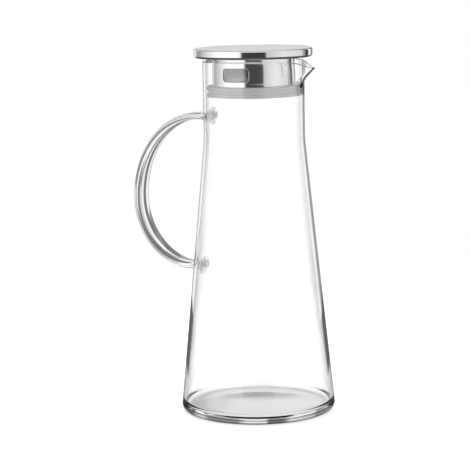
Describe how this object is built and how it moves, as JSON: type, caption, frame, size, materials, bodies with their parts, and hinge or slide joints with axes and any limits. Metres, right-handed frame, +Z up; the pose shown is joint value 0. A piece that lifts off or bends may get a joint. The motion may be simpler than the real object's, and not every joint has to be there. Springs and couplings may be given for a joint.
{
  "type": "filter carafe",
  "caption": "Tall tapered glass carafe with a strap handle and a pulled spout, and a lift-off steel lid whose windowed sleeve strains what is poured.",
  "frame": {"origin": "centre of the flat underside of the base, on the axis of the body", "axes": "+Z up along the body's axis, +X towards the spout, -X towards the handle, -Y towards the strainer window"},
  "size_m": [0.1658, 0.1208, 0.2855],
  "materials": {
    "clear_glass": "clear blown glass, fire-polished rim",
    "handle_glass": "clear drawn glass strap, welded to the body",
    "cap_steel": "stainless steel, brushed on top and polished on the rim",
    "plate_steel": "plain stainless steel sheet",
    "sleeve_steel": "stainless steel tube, fine brushed around",
    "mesh_steel": "etched stainless steel screen",
    "silicone": "translucent pale silicone, satin"
  },
  "bodies": {
    "carafe": {"glass_body": "clear_glass", "handle": "handle_glass"},
    "seal": {"seal_ring": "silicone"},
    "lid": {"lid_cap": "cap_steel", "lid_underplate": "plate_steel", "pour_sleeve": "sleeve_steel", "strainer": "mesh_steel"}
  },
  "joints": [
    {"name": "lid_lift", "type": "slide", "parent": "carafe", "child": "seal", "axis": [0, 0, 1], "range_m": [0, 0.06]},
    {"name": "lid_turn", "type": "hinge", "parent": "seal", "child": "lid", "pos_m": [0, 0, 0.2527], "axis": [0, 0, 1], "continuous": true}
  ]
}
